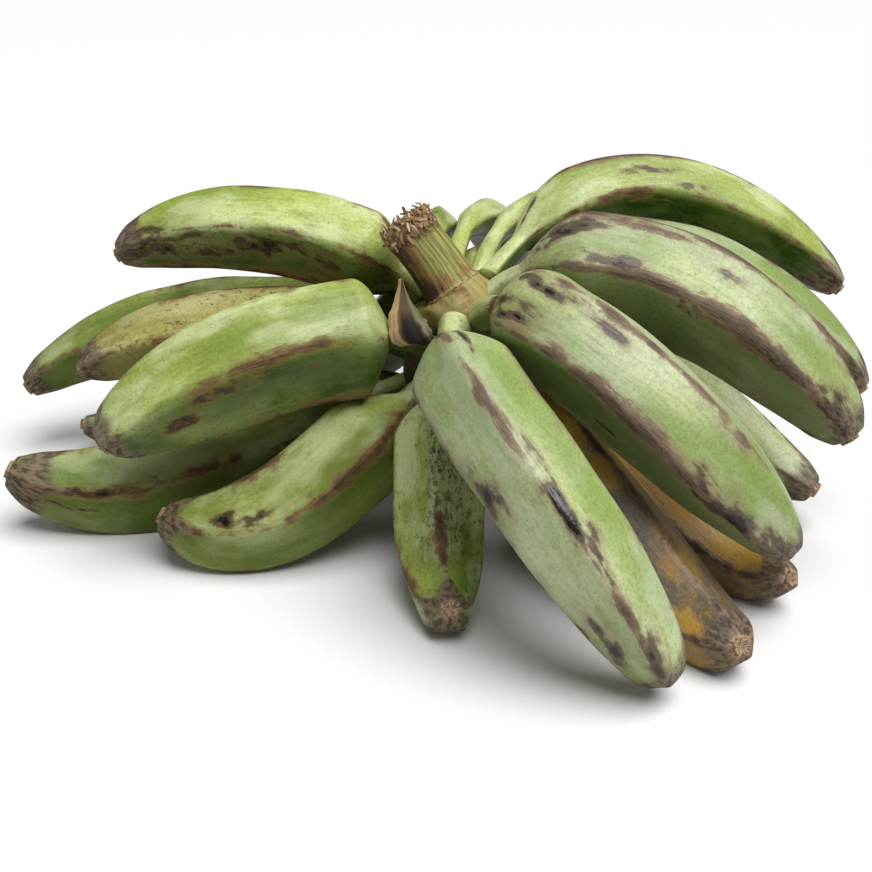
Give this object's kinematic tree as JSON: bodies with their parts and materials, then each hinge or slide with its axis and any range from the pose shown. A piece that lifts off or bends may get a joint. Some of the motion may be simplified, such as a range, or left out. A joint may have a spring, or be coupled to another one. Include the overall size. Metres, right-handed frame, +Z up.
{
  "type": "plantain bunch",
  "caption": "Bunch of green cooking plantains on a short cut stalk, the angular fingers fanned out and drooping so that it rests on its lower fingers.",
  "frame": {"origin": "centre of the footprint, on the surface that the bunch rests on", "axes": "+Z up, +X to the right of the side seen in the picture, -Y towards the viewer"},
  "size_m": [0.4223, 0.3329, 0.1592],
  "materials": {
    "bloom_green_skin": "waxy matte bloom",
    "bright_green_skin": "waxy satin",
    "pale_green_skin": "waxy satin",
    "ripe_skin": "satin",
    "stalk_green": "fibrous matte",
    "dry_bract": "dry fibrous matte"
  },
  "bodies": {
    "root": {"upper_finger_front": "bloom_green_skin", "upper_finger_front_right": "bloom_green_skin", "upper_finger_right": "bloom_green_skin", "upper_finger_right_behind": "bloom_green_skin", "upper_finger_top_right": "bright_green_skin", "upper_finger_back_right": "bright_green_skin", "upper_finger_back": "bright_green_skin", "upper_finger_back_left": "bright_green_skin", "upper_finger_left_behind": "bright_green_skin", "upper_finger_left": "bright_green_skin", "upper_finger_front_left": "bright_green_skin", "lower_finger_left_pale": "pale_green_skin", "lower_finger_left_behind": "bright_green_skin", "lower_finger_left_under": "bright_green_skin", "lower_finger_left": "bright_green_skin", "lower_finger_front_left": "bright_green_skin", "lower_finger_front": "bright_green_skin", "lower_finger_ripe": "ripe_skin", "lower_finger_ripe_right": "ripe_skin", "lower_finger_right": "bloom_green_skin", "middle_finger_back_right": "bright_green_skin", "lower_finger_back_right": "bright_green_skin", "lower_finger_back": "bright_green_skin", "lower_finger_back_left": "bright_green_skin", "stalk": "stalk_green", "withered_bract": "dry_bract"}
  },
  "joints": []
}
